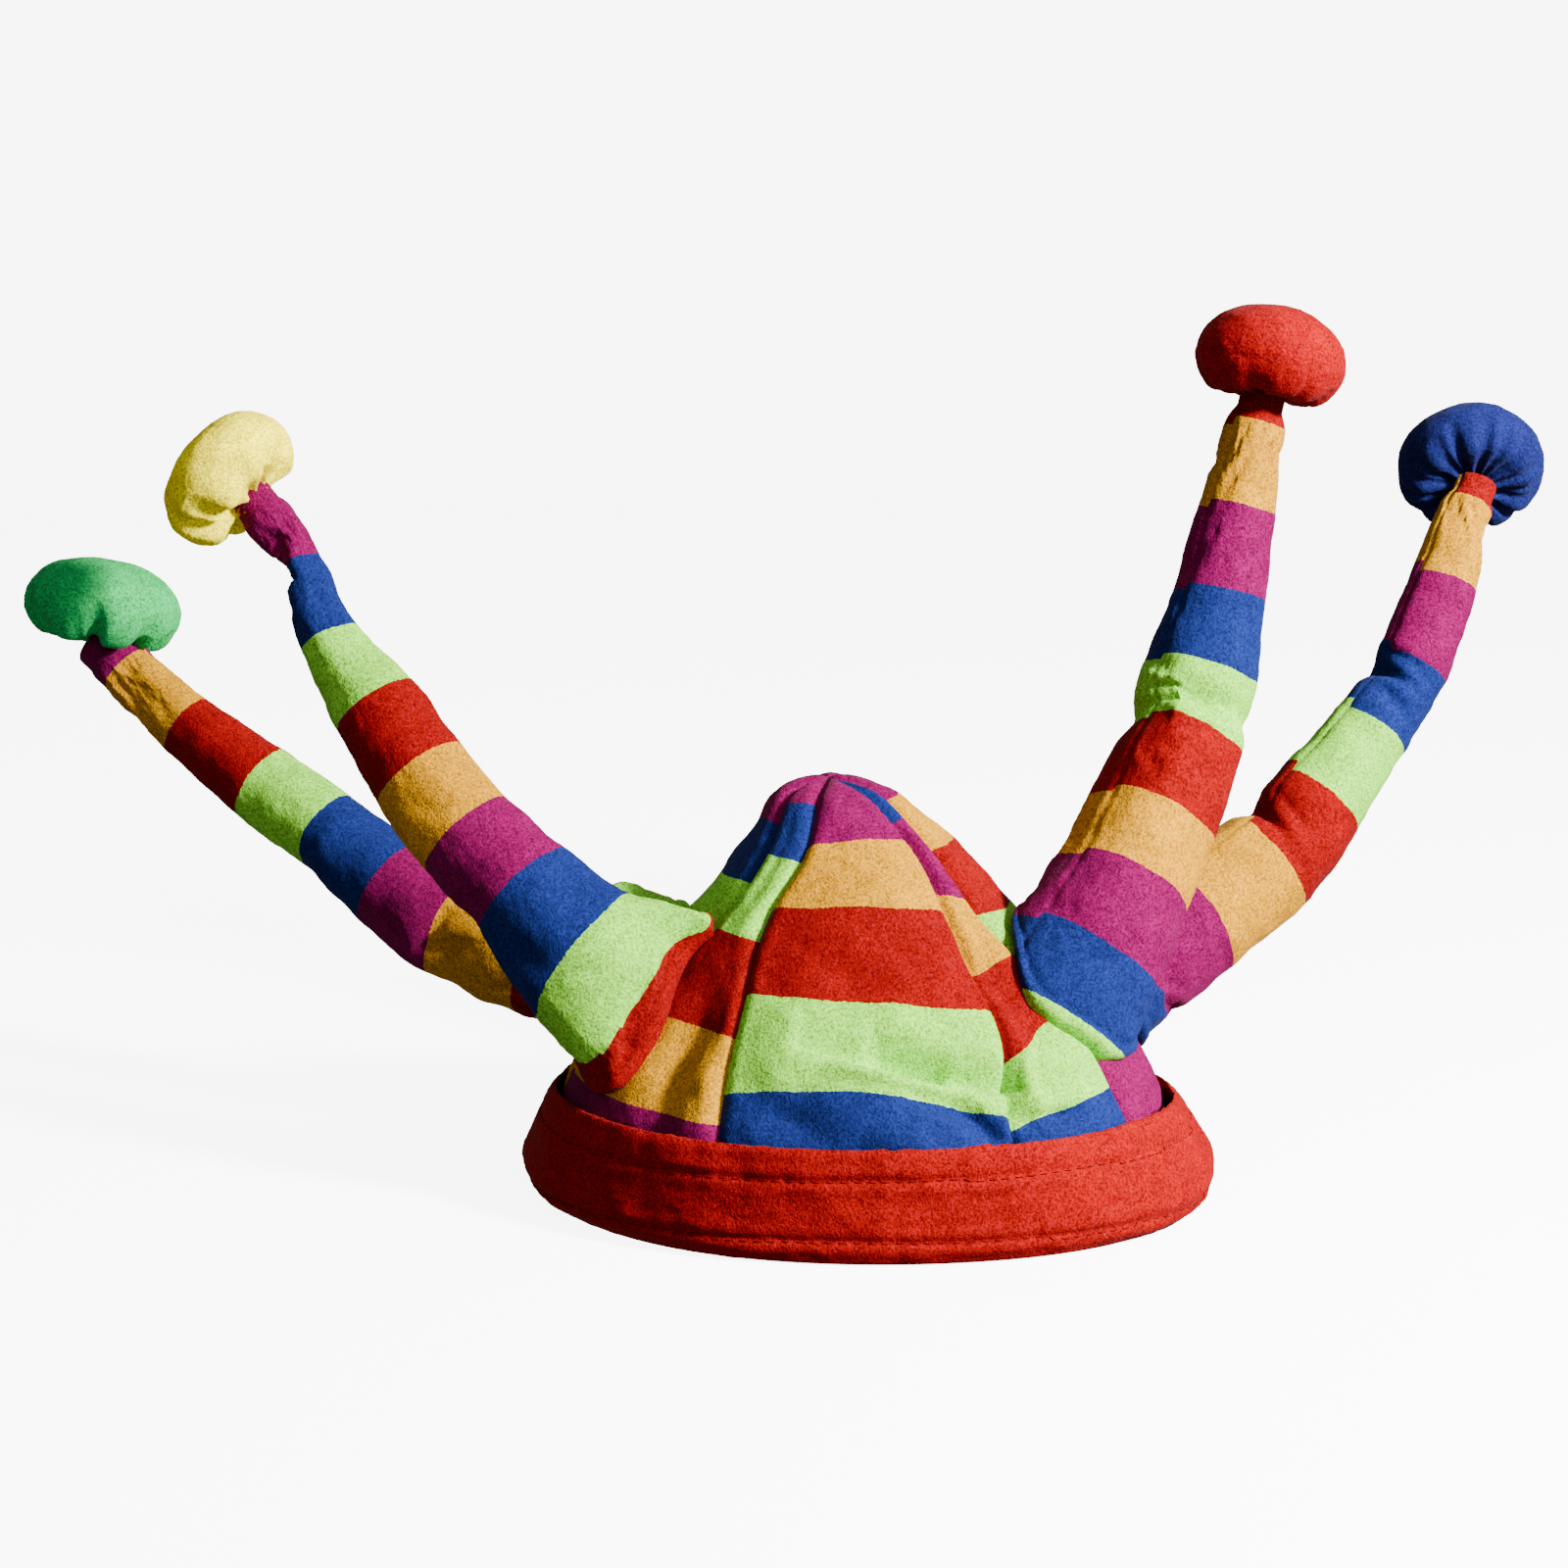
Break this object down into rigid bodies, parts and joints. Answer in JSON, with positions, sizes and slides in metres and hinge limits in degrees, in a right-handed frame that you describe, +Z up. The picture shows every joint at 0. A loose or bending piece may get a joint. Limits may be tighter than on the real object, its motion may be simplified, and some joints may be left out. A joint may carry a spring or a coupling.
{
  "type": "jester hat",
  "caption": "Soft jester hat with a rounded gored crown, a turned-up cuff and stuffed striped horns that each end in a gathered ball.",
  "frame": {"origin": "middle of the head opening, in the plane that the cuff rests on", "axes": "+Z up out of the crown, -Y the front, +X the viewer's right when looking at the front, which is the way the horns spread"},
  "size_m": [0.5512, 0.2565, 0.2864],
  "materials": {
    "striped_velour": "short pile velour in blue, lime, red, gold and magenta stripes",
    "cuff_velour": "plain red short pile velour",
    "yellow_velour": "soft short pile velour",
    "green_velour": "soft short pile velour",
    "red_velour": "soft short pile velour",
    "blue_velour": "soft short pile velour"
  },
  "bodies": {
    "root": {"crown_gore_front": "striped_velour", "crown_gore_front_right": "striped_velour", "crown_gore_back_right": "striped_velour", "crown_gore_back": "striped_velour", "crown_gore_back_left": "striped_velour", "crown_gore_front_left": "striped_velour", "cuff": "cuff_velour", "horn_front_left": "striped_velour", "horn_back_left": "striped_velour", "horn_front_right": "striped_velour", "horn_back_right": "striped_velour", "ball_front_left": "yellow_velour", "ball_back_left": "green_velour", "ball_front_right": "red_velour", "ball_back_right": "blue_velour"}
  },
  "joints": []
}
